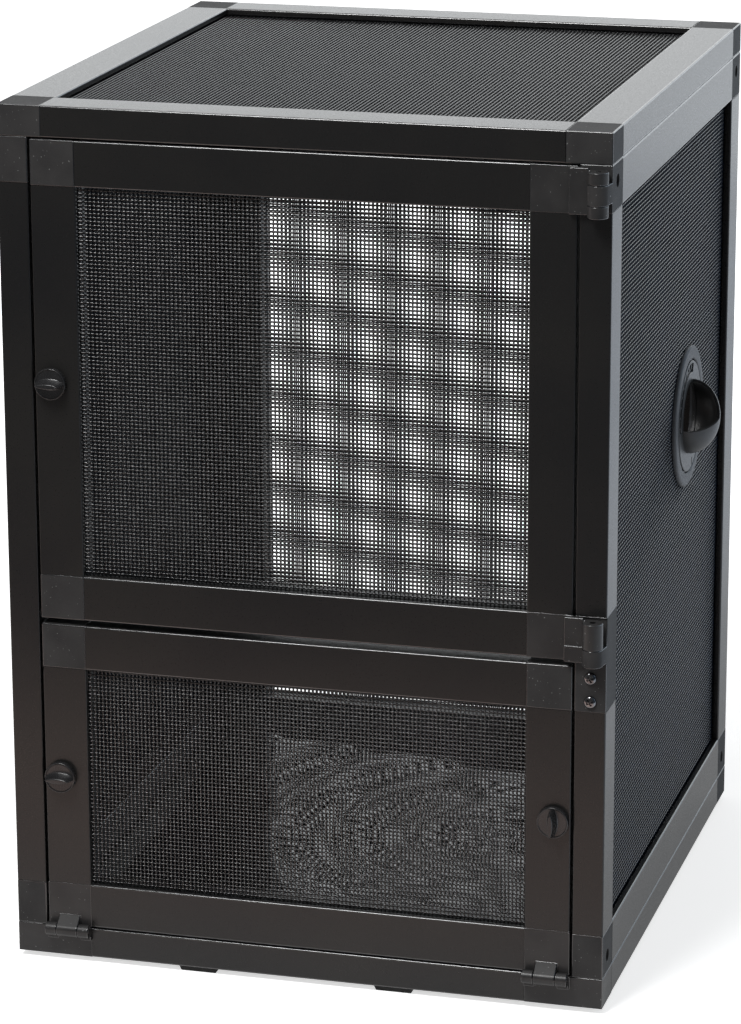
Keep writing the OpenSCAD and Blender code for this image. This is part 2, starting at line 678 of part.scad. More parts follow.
// Lower door
module lower_door_left_stile() color(frame_col) in_lower_door() bored_stile(low_size, 3, latch_inset);
module lower_door_right_stile() color(frame_col)
    in_lower_door() bored_stile(low_size, 1, door_w - latch_inset);
module lower_door_top_rail() color(frame_col) in_lower_door() rail(low_size, 2);
module lower_door_bottom_rail() color(frame_col) in_lower_door() rail(low_size, 0);
module lower_door_corners() color(corner_col) in_lower_door() for (side = [2, 3]) corner(low_size, side);
module lower_hinge_corner() difference() {
    union() {
        translate([door_x, rail_t, low_z]) rotate([90, 0, 0]) corner(low_size, 1);
        translate([low_mid_x0, low_y, low_axis_z]) rotate([0, 90, 0])
            cylinder(d = low_barrel_d, h = low_knuckle);
        translate([low_mid_x0, 0, 0]) rotate([90, 0, 90]) linear_extrude(low_knuckle) polygon([
            [lap, low_z], [lap, low_plate_z], [-low_gap, low_plate_z], low_touch,
            [low_y, low_axis_z], [-low_gap, low_axis_z], [-low_gap, low_z]]);
    }
    low_bore(pin_free);
}
module lower_door_hinge_corners() color(corner_col) in_cage() both_sides() lower_hinge_corner();
module lower_door_mesh() color(mesh_col) in_lower_door() net(low_size);
module lower_door_spline() color(rubber_col) in_lower_door() spline(low_size, mesh_t);

// Latches: the shaft's axis is the local Z axis, pointing out of the door's face
module at_latch(x, z) in_cage() translate([x, 0, z]) rotate([90, 0, 0]) children();
module knob(bar_angle) {
    translate([0, 0, knob_gap]) cylinder(d = knob_d, h = knob_t);
    rotate([0, 0, bar_angle]) intersection() {
        translate([-knob_d/2, -bar_w/2, knob_gap]) cube([knob_d, bar_w, knob_t + bar_h]);
        cylinder(d = knob_d, h = knob_out);
    }
    translate([0, 0, -tongue_y]) cylinder(d = shaft_d, h = tongue_y + knob_gap + lap);
    translate([0, 0, -tongue_y - tongue_t]) cylinder(d = rivet_d, h = tongue_t + lap);
    translate([0, 0, -tongue_y - tongue_t - rivet_h]) cylinder(d = shaft_d, h = rivet_h);
}
module tongue() translate([0, 0, -tongue_y - tongue_t]) linear_extrude(tongue_t) difference() {
    union() {
        circle(d = shaft_d + tongue_w/2);
        translate([-tongue_w/2, -tongue_l]) square([tongue_w, tongue_l]);
    }
    circle(d = rivet_d + 2*pin_held);
}
module upper_latch_knob() color(knob_col) at_latch(left_latch_x, up_latch_z) knob(0);
module upper_latch_tongue() color(steel_col) at_latch(left_latch_x, up_latch_z) tongue();
module left_latch_knob() color(knob_col) at_latch(left_latch_x, low_latch_z) knob(0);
module left_latch_tongue() color(steel_col) at_latch(left_latch_x, low_latch_z) tongue();
module right_latch_knob() color(knob_col) at_latch(right_latch_x, low_latch_z) knob(90);
module right_latch_tongue() color(steel_col) at_latch(right_latch_x, low_latch_z) tongue();

base_front_rail();
base_back_rail();
base_side_rails();
base_back_corners();
base_hinge_corners();
floor_sheet();
feet();
lid_front_rail();
lid_back_rail();
lid_side_rails();
lid_corners();
lid_mesh();
left_front_post();
left_back_post();
left_rails();
left_corners();
left_mesh();
right_upper_post();
right_lower_post();
right_back_post();
right_rails();
right_corners();
right_hinge_corner();
hinge_block();
right_mesh();
back_stiles();
back_rails();
back_corners();
back_mesh();
panel_splines();
frame_screws();
hinge_block_screws();
lower_hinge_pins();
port_bezel();
port_clamp_ring();
port_cover();
upper_door_latch_stile();
upper_door_hinge_stile();
upper_door_top_rail();
upper_door_bottom_rail();
upper_door_corners();
upper_door_hinge_corners();
upper_door_mesh();
upper_door_spline();
upper_hinge_pins();
upper_latch_knob();
upper_latch_tongue();
lower_door_left_stile();
lower_door_right_stile();
lower_door_top_rail();
lower_door_bottom_rail();
lower_door_corners();
lower_door_hinge_corners();
lower_door_mesh();
lower_door_spline();
left_latch_knob();
left_latch_tongue();
right_latch_knob();
right_latch_tongue();
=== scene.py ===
import math

import bpy
import numpy as np
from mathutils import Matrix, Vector


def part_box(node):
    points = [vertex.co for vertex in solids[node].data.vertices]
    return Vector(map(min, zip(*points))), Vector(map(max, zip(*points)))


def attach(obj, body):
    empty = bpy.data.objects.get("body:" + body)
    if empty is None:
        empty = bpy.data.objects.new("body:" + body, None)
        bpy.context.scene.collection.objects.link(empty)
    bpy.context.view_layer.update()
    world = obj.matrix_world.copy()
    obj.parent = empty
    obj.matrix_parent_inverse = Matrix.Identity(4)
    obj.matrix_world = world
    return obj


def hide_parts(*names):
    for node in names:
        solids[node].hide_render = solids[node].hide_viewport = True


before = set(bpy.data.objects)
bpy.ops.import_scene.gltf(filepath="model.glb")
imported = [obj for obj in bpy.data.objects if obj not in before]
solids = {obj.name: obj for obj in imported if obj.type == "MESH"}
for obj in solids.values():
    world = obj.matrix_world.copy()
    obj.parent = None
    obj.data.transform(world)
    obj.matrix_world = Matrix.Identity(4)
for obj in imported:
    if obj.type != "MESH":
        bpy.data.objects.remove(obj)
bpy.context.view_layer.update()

# Camera: it stands to the right of the doors and a little above the lid, about three metres off,
# with a long lens, so the front, the right side and the lid all show.
camera_at = Vector((0.73625, -2.7497, 1.0990))
camera_aim = Vector((-0.01675, -0.0183, 0.2846))
camera_roll = -0.00335
focal_length = 144.1
sensor_wide = 36.0


def add_object(name, data):
    added = bpy.data.objects.new(name, data)
    bpy.context.scene.collection.objects.link(added)
    return added


lens = bpy.data.cameras.new("photo_camera")
lens.lens = focal_length
lens.sensor_width = sensor_wide
photo_camera = add_object("photo_camera", lens)
photo_camera.location = camera_at
photo_camera.rotation_euler = (camera_aim - camera_at).to_track_quat("-Z", "Y").to_euler()
photo_camera.rotation_euler.rotate_axis("Z", camera_roll)
bpy.context.scene.camera = photo_camera
bpy.context.scene.view_settings.view_transform = "Standard"

# Studio: white paper under the cage, a soft box overhead, a lit wall behind and a cool window at the right.
# The room in front is dim, and its warm floor shows in the gloss of the lower rails. The paper is stage.
white = (1.0, 1.0, 1.0, 1.0)
room_light = 0.28
room_front = 0.13
room_front_to_back = (-0.25, 0.45)
room_cool = (0.58, 0.78, 1.0, 1.0)
room_to_window = (0.10, 0.50)
paper_colour = (0.90, 0.90, 0.90, 1.0)
paper_rough = 0.9
paper_front = -0.78
paper_reach = 14.0
paper_lift = 0.64
paper_fade = (0.55, 1.2)
paper_mirrored = 0.25
window_glow = 0.22
floor_warm = (0.95, 0.66, 0.56, 1.0)
floor_cool = (0.74, 0.84, 0.98, 1.0)
warm_reach = (-0.20, -0.45)
cool_reach = (0.22, 0.50)


def feed(tree, socket, value):
    if isinstance(value, bpy.types.NodeSocket):
        tree.links.new(value, socket)
    else:
        socket.default_value = value


def spread(tree, value, source, target=(0.0, 1.0)):
    span = tree.nodes.new("ShaderNodeMapRange")
    for name, limit in zip(("From Min", "From Max", "To Min", "To Max"), (*source, *target)):
        span.inputs[name].default_value = limit
    tree.links.new(value, span.inputs["Value"])
    return span.outputs["Result"]


def calculate(tree, operation, first, second):
    step = tree.nodes.new("ShaderNodeMath")
    step.operation = operation
    feed(tree, step.inputs[0], first)
    feed(tree, step.inputs[1], second)
    return step.outputs["Value"]


def mix_colour(tree, factor, plain, tinted):
    mix = tree.nodes.new("ShaderNodeMix")
    mix.data_type = "RGBA"
    tree.links.new(factor, mix.inputs["Factor"])
    feed(tree, mix.inputs[6], plain)
    feed(tree, mix.inputs[7], tinted)
    return mix.outputs[2]


world = bpy.data.worlds.new("studio")
world.use_nodes = True
bpy.context.scene.world = world
sky = world.node_tree
sky.nodes.clear()


def sky_light(colour, strength):
    light = sky.nodes.new("ShaderNodeBackground")
    feed(sky, light.inputs["Color"], colour)
    feed(sky, light.inputs["Strength"], strength)
    return light.outputs["Background"]


def sky_choice(factor, first, second):
    choice = sky.nodes.new("ShaderNodeMixShader")
    for socket, value in zip(choice.inputs, (factor, first, second)):
        sky.links.new(value, socket)
    return choice.outputs["Shader"]


sky_ray = sky.nodes.new("ShaderNodeLightPath")
sky_place = sky.nodes.new("ShaderNodeTexCoord")
sky_facing = sky.nodes.new("ShaderNodeSeparateXYZ")
sky.links.new(sky_place.outputs["Generated"], sky_facing.inputs["Vector"])
window_tint = mix_colour(sky, spread(sky, sky_facing.outputs["X"], room_to_window), white, room_cool)
room_depth = spread(sky, sky_facing.outputs["Y"], room_front_to_back, (room_front, 1.0))
unseen = sky_choice(sky_ray.outputs["Is Glossy Ray"], sky_light(white, room_light),
                    sky_light(window_tint, room_depth))
seen = calculate(sky, "MAXIMUM", sky_ray.outputs["Is Camera Ray"], sky_ray.outputs["Is Transmission Ray"])
sky_out = sky.nodes.new("ShaderNodeOutputWorld")
sky.links.new(sky_choice(seen, unseen, sky_light(white, 1.0)), sky_out.inputs["Surface"])

paper_mesh = bpy.data.meshes.new("studio_paper")
paper_mesh.from_pydata(
    [(-paper_reach, paper_front, 0.0), (paper_reach, paper_front, 0.0),
     (paper_reach, paper_reach, 0.0), (-paper_reach, paper_reach, 0.0)], [], [(0, 1, 2, 3)])
studio_paper = add_object("studio_paper", paper_mesh)
paper = bpy.data.materials.new("white_paper")
paper.use_nodes = True
paper_tree = paper.node_tree
paper_shader = paper_tree.nodes["Principled BSDF"]
paper_shader.inputs["Roughness"].default_value = paper_rough
paper_shader.inputs["Specular IOR Level"].default_value = 0.0
paper_shader.inputs["Emission Color"].default_value = white
paper_ray = paper_tree.nodes.new("ShaderNodeLightPath")
paper_place = paper_tree.nodes.new("ShaderNodeTexCoord")
paper_parts = paper_tree.nodes.new("ShaderNodeSeparateXYZ")
paper_away = paper_tree.nodes.new("ShaderNodeVectorMath")
paper_away.operation = "LENGTH"
paper_tree.links.new(paper_place.outputs["Object"], paper_parts.inputs["Vector"])
paper_tree.links.new(paper_place.outputs["Object"], paper_away.inputs[0])
in_front = spread(paper_tree, paper_parts.outputs["Y"], warm_reach)
at_window = spread(paper_tree, paper_parts.outputs["X"], cool_reach)
paper_tint = paper_colour
for beside, tint in ((in_front, floor_warm), (at_window, floor_cool)):
    mirrored = calculate(paper_tree, "MULTIPLY", paper_ray.outputs["Is Glossy Ray"], beside)
    paper_tint = mix_colour(paper_tree, mirrored, paper_tint, tint)
paper_tree.links.new(paper_tint, paper_shader.inputs["Base Color"])
paper_seen = spread(paper_tree, paper_away.outputs["Value"], paper_fade, (paper_lift, 1.0))
paper_glow = calculate(paper_tree, "MULTIPLY", at_window, window_glow)
paper_glow = calculate(paper_tree, "ADD", paper_glow, paper_mirrored)
paper_strength = calculate(
    paper_tree, "ADD",
    calculate(paper_tree, "MULTIPLY", paper_ray.outputs["Is Camera Ray"], paper_seen),
    calculate(paper_tree, "MULTIPLY", paper_ray.outputs["Is Glossy Ray"], paper_glow))
paper_tree.links.new(paper_strength, paper_shader.inputs["Emission Strength"])
paper_mesh.materials.append(paper)


def soft_lamp(name, size, watts, colour, place, turn):
    lamp = bpy.data.lights.new(name, "AREA")
    lamp.shape = "RECTANGLE"
    lamp.size, lamp.size_y = size
    lamp.energy = watts
    lamp.color = colour
    stand = add_object(name, lamp)
    stand.location = place
    stand.rotation_euler = [math.radians(angle) for angle in turn]
    stand.visible_camera = False


soft_lamp("soft_box", size=(0.8, 0.8), watts=54.0, colour=(1.0, 1.0, 1.0), place=(-0.5, -1.5, 2.4),
          turn=(37, 0, 0))
soft_lamp("back_wall", size=(3.2, 1.8), watts=16.0, colour=(0.92, 0.97, 1.0), place=(-0.5, 2.4, 0.95),
          turn=(-90, 0, 0))
soft_lamp("side_window", size=(1.6, 1.6), watts=14.0, colour=(0.78, 0.89, 1.0), place=(2.8, 0.9, 1.6),
          turn=(0, 90, 0))

# Rails, stiles and posts: one hollow aluminium extrusion, sawn to length and coated satin black.
# The die leaves eased edges, and the coat has a fine skin. The rails' eased edges get a paler, glossier coat, a
# painted highlight for the glint of the overhead lamp.
coat_colours = ((0.0085, 0.0085, 0.0090, 1.0), (0.0125, 0.0120, 0.0115, 1.0))
coat_gloss = (0.26, 0.36)
# Edge coat: paler and glossier than the black coat, a painted highlight that stands in for the lamp's glint on
# the edges.
painted_glint_colours = ((0.011, 0.011, 0.012, 1.0), (0.030, 0.030, 0.031, 1.0))
glint_edge_gloss = (0.12, 0.26)
cloud_span = (0.35, 0.65)
grain_span = (0.3, 0.7)
rail_edge = 0.0012
shortest_edge = 0.004
shortest_die_edge = 0.060
sharp_edge = math.radians(38)
level_within = math.radians(0.5)
weld_gap = 0.00001


def add_noise(tree, scale, detail):
    place = tree.nodes.new("ShaderNodeTexCoord")
    noise = tree.nodes.new("ShaderNodeTexNoise")
    noise.inputs["Scale"].default_value = scale
    noise.inputs["Detail"].default_value = detail
    tree.links.new(place.outputs["Object"], noise.inputs["Vector"])
    return noise.outputs["Fac"]


def new_finish(name, ior, colours, cloud, grain, gloss, skin=None, metal=0.0):
    finish = bpy.data.materials.new(name)
    finish.use_nodes = True
    tree = finish.node_tree
    shader = tree.nodes["Principled BSDF"]
    shader.inputs["IOR"].default_value = ior
    shader.inputs["Metallic"].default_value = metal
    ramp = tree.nodes.new("ShaderNodeValToRGB")
    for stop, position, colour in zip(ramp.color_ramp.elements, cloud_span, colours):
        stop.position = position
        stop.color = colour
    tree.links.new(add_noise(tree, *cloud), ramp.inputs["Fac"])
    tree.links.new(ramp.outputs["Color"], shader.inputs["Base Color"])
    fine = add_noise(tree, *grain)
    tree.links.new(spread(tree, fine, grain_span, gloss), shader.inputs["Roughness"])
    if skin is not None:
        bump = tree.nodes.new("ShaderNodeBump")
        bump.inputs["Strength"].default_value, bump.inputs["Distance"].default_value = skin
        tree.links.new(fine, bump.inputs["Height"])
        tree.links.new(bump.outputs["Normal"], shader.inputs["Normal"])
    return finish


def node_group(name):
    group = bpy.data.node_groups.new(name, "GeometryNodeTree")
    group.interface.new_socket("Geometry", in_out="INPUT", socket_type="NodeSocketGeometry")
    group.interface.new_socket("Geometry", in_out="OUTPUT", socket_type="NodeSocketGeometry")
    return group, group.nodes.new("NodeGroupInput"), group.nodes.new("NodeGroupOutput")


def over(group, value, limit):
    test = group.nodes.new("FunctionNodeCompare")
    test.data_type = "FLOAT"
    test.operation = "GREATER_THAN"
    test.inputs[1].default_value = limit
    group.links.new(value, test.inputs[0])
    return test.outputs[0]


def edge_picker(name, shortest):
    group, group_in, group_out = node_group(name)
    angle = group.nodes.new("GeometryNodeInputMeshEdgeAngle")
    ends = group.nodes.new("GeometryNodeInputMeshEdgeVertices")
    length = group.nodes.new("ShaderNodeVectorMath")
    length.operation = "DISTANCE"
    group.links.new(ends.outputs["Position 1"], length.inputs[0])
    group.links.new(ends.outputs["Position 2"], length.inputs[1])
    both = group.nodes.new("FunctionNodeBooleanMath")
    both.operation = "AND"
    group.links.new(over(group, angle.outputs["Unsigned Angle"], sharp_edge), both.inputs[0])
    group.links.new(over(group, length.outputs["Value"], shortest), both.inputs[1])
    store = group.nodes.new("GeometryNodeStoreNamedAttribute")
    store.data_type = "FLOAT"
    store.domain = "EDGE"
    store.inputs["Name"].default_value = "bevel_weight_edge"
    group.links.new(group_in.outputs["Geometry"], store.inputs["Geometry"])
    group.links.new(both.outputs["Boolean"], store.inputs["Value"])
    group.links.new(store.outputs["Geometry"], group_out.inputs["Geometry"])
    return group


long_edges = edge_picker("long_edges", shortest_edge)
die_edges = edge_picker("die_edges", shortest_die_edge)
smooth_faces, smooth_in, smooth_out = node_group("round_faces_smooth")
smooth_angle = smooth_faces.nodes.new("GeometryNodeInputMeshEdgeAngle")
smooth_all = smooth_faces.nodes.new("GeometryNodeSetShadeSmooth")
smooth_all.domain = "FACE"
keep_sharp = smooth_faces.nodes.new("GeometryNodeSetShadeSmooth")
keep_sharp.domain = "EDGE"
keep_sharp.inputs["Shade Smooth"].default_value = False
smooth_faces.links.new(smooth_in.outputs["Geometry"], smooth_all.inputs["Geometry"])
smooth_faces.links.new(smooth_all.outputs["Geometry"], keep_sharp.inputs["Geometry"])
smooth_faces.links.new(over(smooth_faces, smooth_angle.outputs["Unsigned Angle"], sharp_edge),
                       keep_sharp.inputs["Selection"])
smooth_faces.links.new(keep_sharp.outputs["Geometry"], smooth_out.inputs["Geometry"])


def settle_shading(solid):
    smooth = solid.modifiers.new("round_faces_smooth", "NODES")
    smooth.node_group = smooth_faces
    level = solid.modifiers.new("flat_faces_level", "WEIGHTED_NORMAL")
    level.mode = "FACE_AREA"
    level.keep_sharp = True


def ease(solid, width, edges=long_edges):
    weld = solid.modifiers.new("joined_faces", "WELD")
    weld.merge_threshold = weld_gap
    flat = solid.modifiers.new("whole_faces", "DECIMATE")
    flat.decimate_type = "DISSOLVE"
    flat.angle_limit = level_within
    picked = solid.modifiers.new("eased_edges", "NODES")
    picked.node_group = edges
    bevel = solid.modifiers.new("eased_corners", "BEVEL")
    bevel.limit_method = "WEIGHT"
    bevel.width = width
    bevel.segments = 3
    bevel.use_clamp_overlap = False
    bevel.loop_slide = False
    settle_shading(solid)


def paint(solid, finish, rim=None):
    solid.data.materials.clear()
    solid.data.materials.append(finish)
    if rim is not None:
        solid.data.materials.append(rim)
        solid.modifiers["eased_corners"].material = 1


satin_black = new_finish("satin_black_coat", ior=1.45, colours=coat_colours, cloud=(9.0, 3.0),
                         grain=(900.0, 2.0), gloss=coat_gloss, skin=(0.06, 0.00008))
painted_glint_edge = new_finish("painted_glint_edge", ior=1.75, colours=painted_glint_colours, cloud=(25.0, 4.0),
                         grain=(140.0, 3.0), gloss=glint_edge_gloss)
for name, solid in solids.items():
    if name.endswith(("_rail", "_rails", "_post", "_stile", "_stiles")):
        ease(solid, rail_edge, die_edges)
        # Only the horizontal rails take the painted-highlight edge coat, since the lamp overhead glints on them.
        paint(solid, satin_black, painted_glint_edge if "_rail" in name else None)

# Corner blocks and hinge block: moulded in dark grey plastic with a spark-eroded face, pushed into the
# ends of the extrusions. Rubbing leaves pale specks on them, and the corners with the doors' and the base's
# hinge knuckles are worn smoother. Their eased edges take the paler, glossier edge coat, a painted highlight.
block_colours = ((0.020, 0.0195, 0.020, 1.0), (0.031, 0.030, 0.030, 1.0))
speck_pale = (0.20, 0.20, 0.20, 1.0)
speck_noise = (720.0, 1.0)
speck_span = (0.745, 0.77)
eroded_gloss = (0.66, 0.80)
worn_gloss = (0.30, 0.42)
block_edge = 0.0008
hinge_edge = 0.0005
shortest_hinge_edge = 0.0006


def moulded_finish(name, gloss):
    finish = new_finish(name, ior=1.40, colours=block_colours, cloud=(45.0, 4.0),
                        grain=(1600.0, 3.0), gloss=gloss, skin=(0.25, 0.00012))
    tree = finish.node_tree
    base_colour = tree.nodes["Principled BSDF"].inputs["Base Color"]
    specks = spread(tree, add_noise(tree, *speck_noise), speck_span)
    speckled = mix_colour(tree, specks, base_colour.links[0].from_socket, speck_pale)
    tree.links.new(speckled, base_colour)
    return finish


moulded_grey = moulded_finish("moulded_grey", eroded_gloss)
knuckle_grey = moulded_finish("knuckle_grey", worn_gloss)
all_edges = edge_picker("all_edges", shortest_hinge_edge)
for name, solid in solids.items():
    if name.endswith(("_corner", "_corners", "_block")):
        if "hinge" in name:
            ease(solid, hinge_edge, all_edges)
        else:
            ease(solid, block_edge)
        paint(solid, knuckle_grey if name.endswith("hinge_corners") else moulded_grey, painted_glint_edge)

# Mesh: black coated thread, woven and set by heat, pulled tight and pressed into the groove of each panel.
# Each panel has its own roll of mesh, so the spacing differs a little. The sides' thread is tinted blue-black,
# a painted tint for the cool light of the window at the right. The doors' cross threads are crowned over each
# upright, the others go over and under by turns.
thread_wide = 0.00126
thread_wide_lid = 0.00110
thread_wide_right = 0.00105
thread_thick = 0.00110
thread_proud = 0.0003
thread_wave = 0.00028
crown_high = 0.00034
crown_dip = -0.00034
groove_hold = 0.0055
back_climb = 0.0155
port_hole = (0.0712, 0.3475, 0.0455)
thread_colours = ((0.0040, 0.0042, 0.0048, 1.0), (0.0090, 0.0095, 0.0108, 1.0))
# Blue-black thread colours for the sides: a painted tint standing in for the window's cool light.
painted_cool_light_colours = ((0.0026, 0.0046, 0.0090, 1.0), (0.0056, 0.0104, 0.0200, 1.0))
x_axis, y_axis, z_axis = range(3)


def thread_finish(name, ior, colours=thread_colours):
    return new_finish(name, ior=ior, colours=colours, cloud=(60.0, 2.0),
                      grain=(2500.0, 2.0), gloss=(0.13, 0.23), skin=(0.2, 0.00005))


thread_black = thread_finish("thread_black", 1.80)
thread_dull = thread_finish("thread_dull", 1.25)
thread_painted_cool_light = thread_finish("thread_painted_cool_light", 1.25, painted_cool_light_colours)


def dress(name, mesh, finish, node, body):
    mesh.materials.append(finish)
    piece = add_object(name, mesh)
    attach(piece, body)
    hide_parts(node)
    return piece


def thread_mesh(name, threads):
    points, corners, sizes, rounded, rings, creases = [], [], [], [], [], []
    base = 0
    for line, ring, creased in threads:
        points.append((line[:, None, :] + ring).reshape(-1, 3))
        sides, count = len(ring), len(line)
        first = base + sides * np.arange(count - 1)[:, None] + np.arange(sides)
        second = base + sides * np.arange(count - 1)[:, None] + np.roll(np.arange(sides), -1)
        corners += [np.stack([first, second, second + sides, first + sides], -1).ravel(),
                    base + np.arange(sides)[::-1], base + sides * (count - 1) + np.arange(sides)]
        sizes += [4] * (sides * (count - 1)) + [sides, sides]
        rounded += [True] * (sides * (count - 1)) + [False, False]
        rings.append(np.repeat(len(creases) + np.arange(count), sides))
        creases += list(creased)
        base += sides * count
    points, corners = np.concatenate(points), np.concatenate(corners)
    mesh = bpy.data.meshes.new(name)
    mesh.vertices.add(len(points))
    mesh.vertices.foreach_set("co", points.astype(np.float32).ravel())
    mesh.loops.add(len(corners))
    mesh.loops.foreach_set("vertex_index", corners.astype(np.int32))
    mesh.polygons.add(len(sizes))
    mesh.polygons.foreach_set("loop_start", np.concatenate([[0], np.cumsum(sizes)[:-1]]).astype(np.int32))
    mesh.polygons.foreach_set("use_smooth", rounded)
    mesh.update(calc_edges=True)
    ends = np.zeros(2 * len(mesh.edges), dtype=np.int32)
    mesh.edges.foreach_get("vertices", ends)
    first, second = np.concatenate(rings)[ends.reshape(-1, 2)].T
    crease = mesh.attributes.new("sharp_edge", "BOOLEAN", "EDGE")
    crease.data.foreach_set("value", (first == second) & np.array(creases)[first])
    return mesh


def weave(node, body, across, up, pitch, proud, wave=thread_wave, wave_out=1, hole=None, wide=thread_wide,
          finish=thread_dull, climb=0.0):
    low, high = (np.array(corner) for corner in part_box(node))
    through = 3 - across - up
    middle = (low[through] + high[through]) / 2
    spots = []
    for axis, step in ((across, pitch[0]), (up, pitch[1])):
        span = high[axis] - low[axis] - 2 * groove_hold
        count = int(span / step)
        spots.append(low[axis] + groove_hold + (span - (count - 1) * step) / 2 + step * np.arange(count))

    def thread(along_axis, along, side_axis, place, rise, section, creased):
        line = np.zeros((len(along), 3))
        line[:, along_axis] = along
        line[:, side_axis] = place
        line[:, through] = middle + rise
        ring = np.zeros((len(section), 3))
        ring[:, side_axis], ring[:, through] = np.array(section).T
        if np.cross(ring[1] - ring[0], ring[2] - ring[1])[along_axis] < 0:
            ring = ring[::-1]
        return line, ring, creased

    # Shading is broken where a thread dips, so that each crown catches the light by itself.
    crowned = wave == 0.0
    diamond = [(wide / 2, 0), (0, thread_thick / 2), (-wide / 2, 0), (0, -thread_thick / 2)]
    facing = math.copysign(thread_thick / 2, proud)
    ridged = [(wide / 3, facing), (-2 * wide / 3, 0), (wide / 3, -facing)]
    threads = []
    for place in spots[0]:
        runs = [(low[up], high[up])]
        if hole is not None and abs(place - hole[0]) < hole[2]:
            reach = math.sqrt(hole[2] ** 2 - (place - hole[0]) ** 2)
            runs = [(low[up], hole[1] - reach), (hole[1] + reach, high[up])]
        for run in runs:
            threads.append(thread(up, run, across, place, -proud, diamond, [False, False]))
    for j, place in enumerate(spots[1]):
        along = spots[0]
        rise = proud + wave * (-1.0) ** (np.arange(len(along)) + j)
        creased = wave_out * rise < wave_out * proud
        if crowned:
            along = (along[:, None] + pitch[0] * np.array([0.0, 0.5])).ravel()
            rise = proud + np.sign(proud) * np.tile([crown_high, crown_dip], len(spots[0]))
            creased = np.tile([False, True], len(spots[0]))
        along = np.concatenate([[low[across]], along, [high[across]]])
        rise = np.concatenate([[0.0], rise, [0.0]])
        creased = np.concatenate([[False], creased, [False]])
        line = place + climb * (along - (low[across] + high[across]) / 2)
        keep = (line > low[up]) & (line < high[up])
        if hole is not None:
            keep = np.hypot(along - hole[0], place - hole[1]) >= hole[2]
        for run in np.split(np.arange(len(along)), np.flatnonzero(np.diff(keep.astype(int))) + 1):
            if keep[run[0]] and len(run) > 1:
                threads.append(thread(across, along[run], up, line[run], rise[run],
                                      ridged if crowned else diamond, creased[run]))
    dress(node + "_weave", thread_mesh(node + "_weave", threads), finish, node, body)


weave("lid_mesh", "cage", x_axis, y_axis, (0.00299, 0.00290), -thread_proud, wide=thread_wide_lid)
weave("left_mesh", "cage", y_axis, z_axis, (0.00272, 0.00293), -thread_proud, wave_out=-1, finish=thread_painted_cool_light)
weave("right_mesh", "cage", y_axis, z_axis, (0.00272, 0.00293), thread_proud, hole=port_hole,
      wide=thread_wide_right, finish=thread_painted_cool_light)
weave("back_mesh", "cage", x_axis, z_axis, (0.00319, 0.00340), thread_proud, climb=back_climb)
weave("upper_door_mesh", "upper_door", x_axis, z_axis, (0.00297, 0.00266), -thread_proud, wave=0.0,
      finish=thread_black)
weave("lower_door_mesh", "lower_door", x_axis, z_axis, (0.00280, 0.00286), -thread_proud, wave=0.0,
      finish=thread_black)

# Splines: black rubber cord rolled into the groove over the edge of the mesh.
# The feet are pads of the same rubber, glued under the base.
rubber_colours = ((0.010, 0.010, 0.010, 1.0), (0.018, 0.018, 0.018, 1.0))
foot_edge = 0.0004
rubber_black = new_finish("rubber_black", ior=1.5, colours=rubber_colours, cloud=(80.0, 3.0),
                          grain=(1200.0, 2.0), gloss=(0.65, 0.85), skin=(0.3, 0.0001))
for name in ("panel_splines", "upper_door_spline", "lower_door_spline"):
    settle_shading(solids[name])
    paint(solids[name], rubber_black)
ease(solids["feet"], foot_edge)
paint(solids["feet"], rubber_black)

# Floor: one loose sheet of glossy black plastic on the ledge of the base rails. It is warped, so it
# lies flat along the front and lifts towards the back and left, with shallow ripples.
sheet_colours = ((0.008, 0.008, 0.009, 1.0), (0.012, 0.012, 0.012, 1.0))
sheet_cloud = (14.0, 3.0)
sheet_steps = 120
flat_front = 6
lift_back = 0.0040
lift_back_curve = 2.2
lift_corner = 0.0100
lift_corner_curve = 1.2
ripple_high = 0.00020
ripple_wide = 0.055
ripple_centre = (0.72, 0.55)
ripple_reach = (0.375, 0.405)
slant_share = 0.6
slant_turns = (23.0, 9.0)
gloss_black = new_finish("gloss_black_sheet", ior=1.5, colours=sheet_colours, cloud=sheet_cloud,
                         grain=sheet_cloud, gloss=(0.012, 0.035))


def new_piece(name, points, faces, finish, node, body, slot):
    mesh = bpy.data.meshes.new(name)
    mesh.from_pydata(points, [], faces)
    mesh.polygons.foreach_set("use_smooth", np.ones(len(mesh.polygons), dtype=bool))
    return dress(name, mesh, finish, node, body)


sheet_low, sheet_high = (np.array(corner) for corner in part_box("floor_sheet"))
sheet_u = np.linspace(0.0, 1.0, sheet_steps + 1)
sheet_x, sheet_y = np.meshgrid(sheet_u, sheet_u, indexing="ij")
sheet_ring = np.hypot((sheet_x - ripple_centre[0]) * ripple_reach[0],
                      (sheet_y - ripple_centre[1]) * ripple_reach[1])
sheet_hold = np.clip(flat_front * sheet_y, 0.0, 1.0)
sheet_rise = sheet_hold * (
    (lift_back + lift_corner * (1 - sheet_x) ** lift_corner_curve) * sheet_y ** lift_back_curve
    + ripple_high * (1 + np.sin(math.tau * sheet_ring / ripple_wide))
    + slant_share * ripple_high * (1 + np.sin(slant_turns[0] * sheet_x + slant_turns[1] * sheet_y)))
sheet_top = np.stack([
    sheet_low[0] + sheet_x * (sheet_high[0] - sheet_low[0]),
    sheet_low[1] + sheet_y * (sheet_high[1] - sheet_low[1]), sheet_high[2] + sheet_rise], -1).reshape(-1, 3)
sheet_bottom = sheet_top - (0.0, 0.0, sheet_high[2] - sheet_low[2])
sheet_row = sheet_steps + 1
sheet_under = sheet_row * sheet_row
sheet_faces = []
for i in range(sheet_steps):
    for j in range(sheet_steps):
        a = i * sheet_row + j
        quad = (a, a + sheet_row, a + sheet_row + 1, a + 1)
        sheet_faces.append(quad)
        sheet_faces.append(tuple(k + sheet_under for k in reversed(quad)))
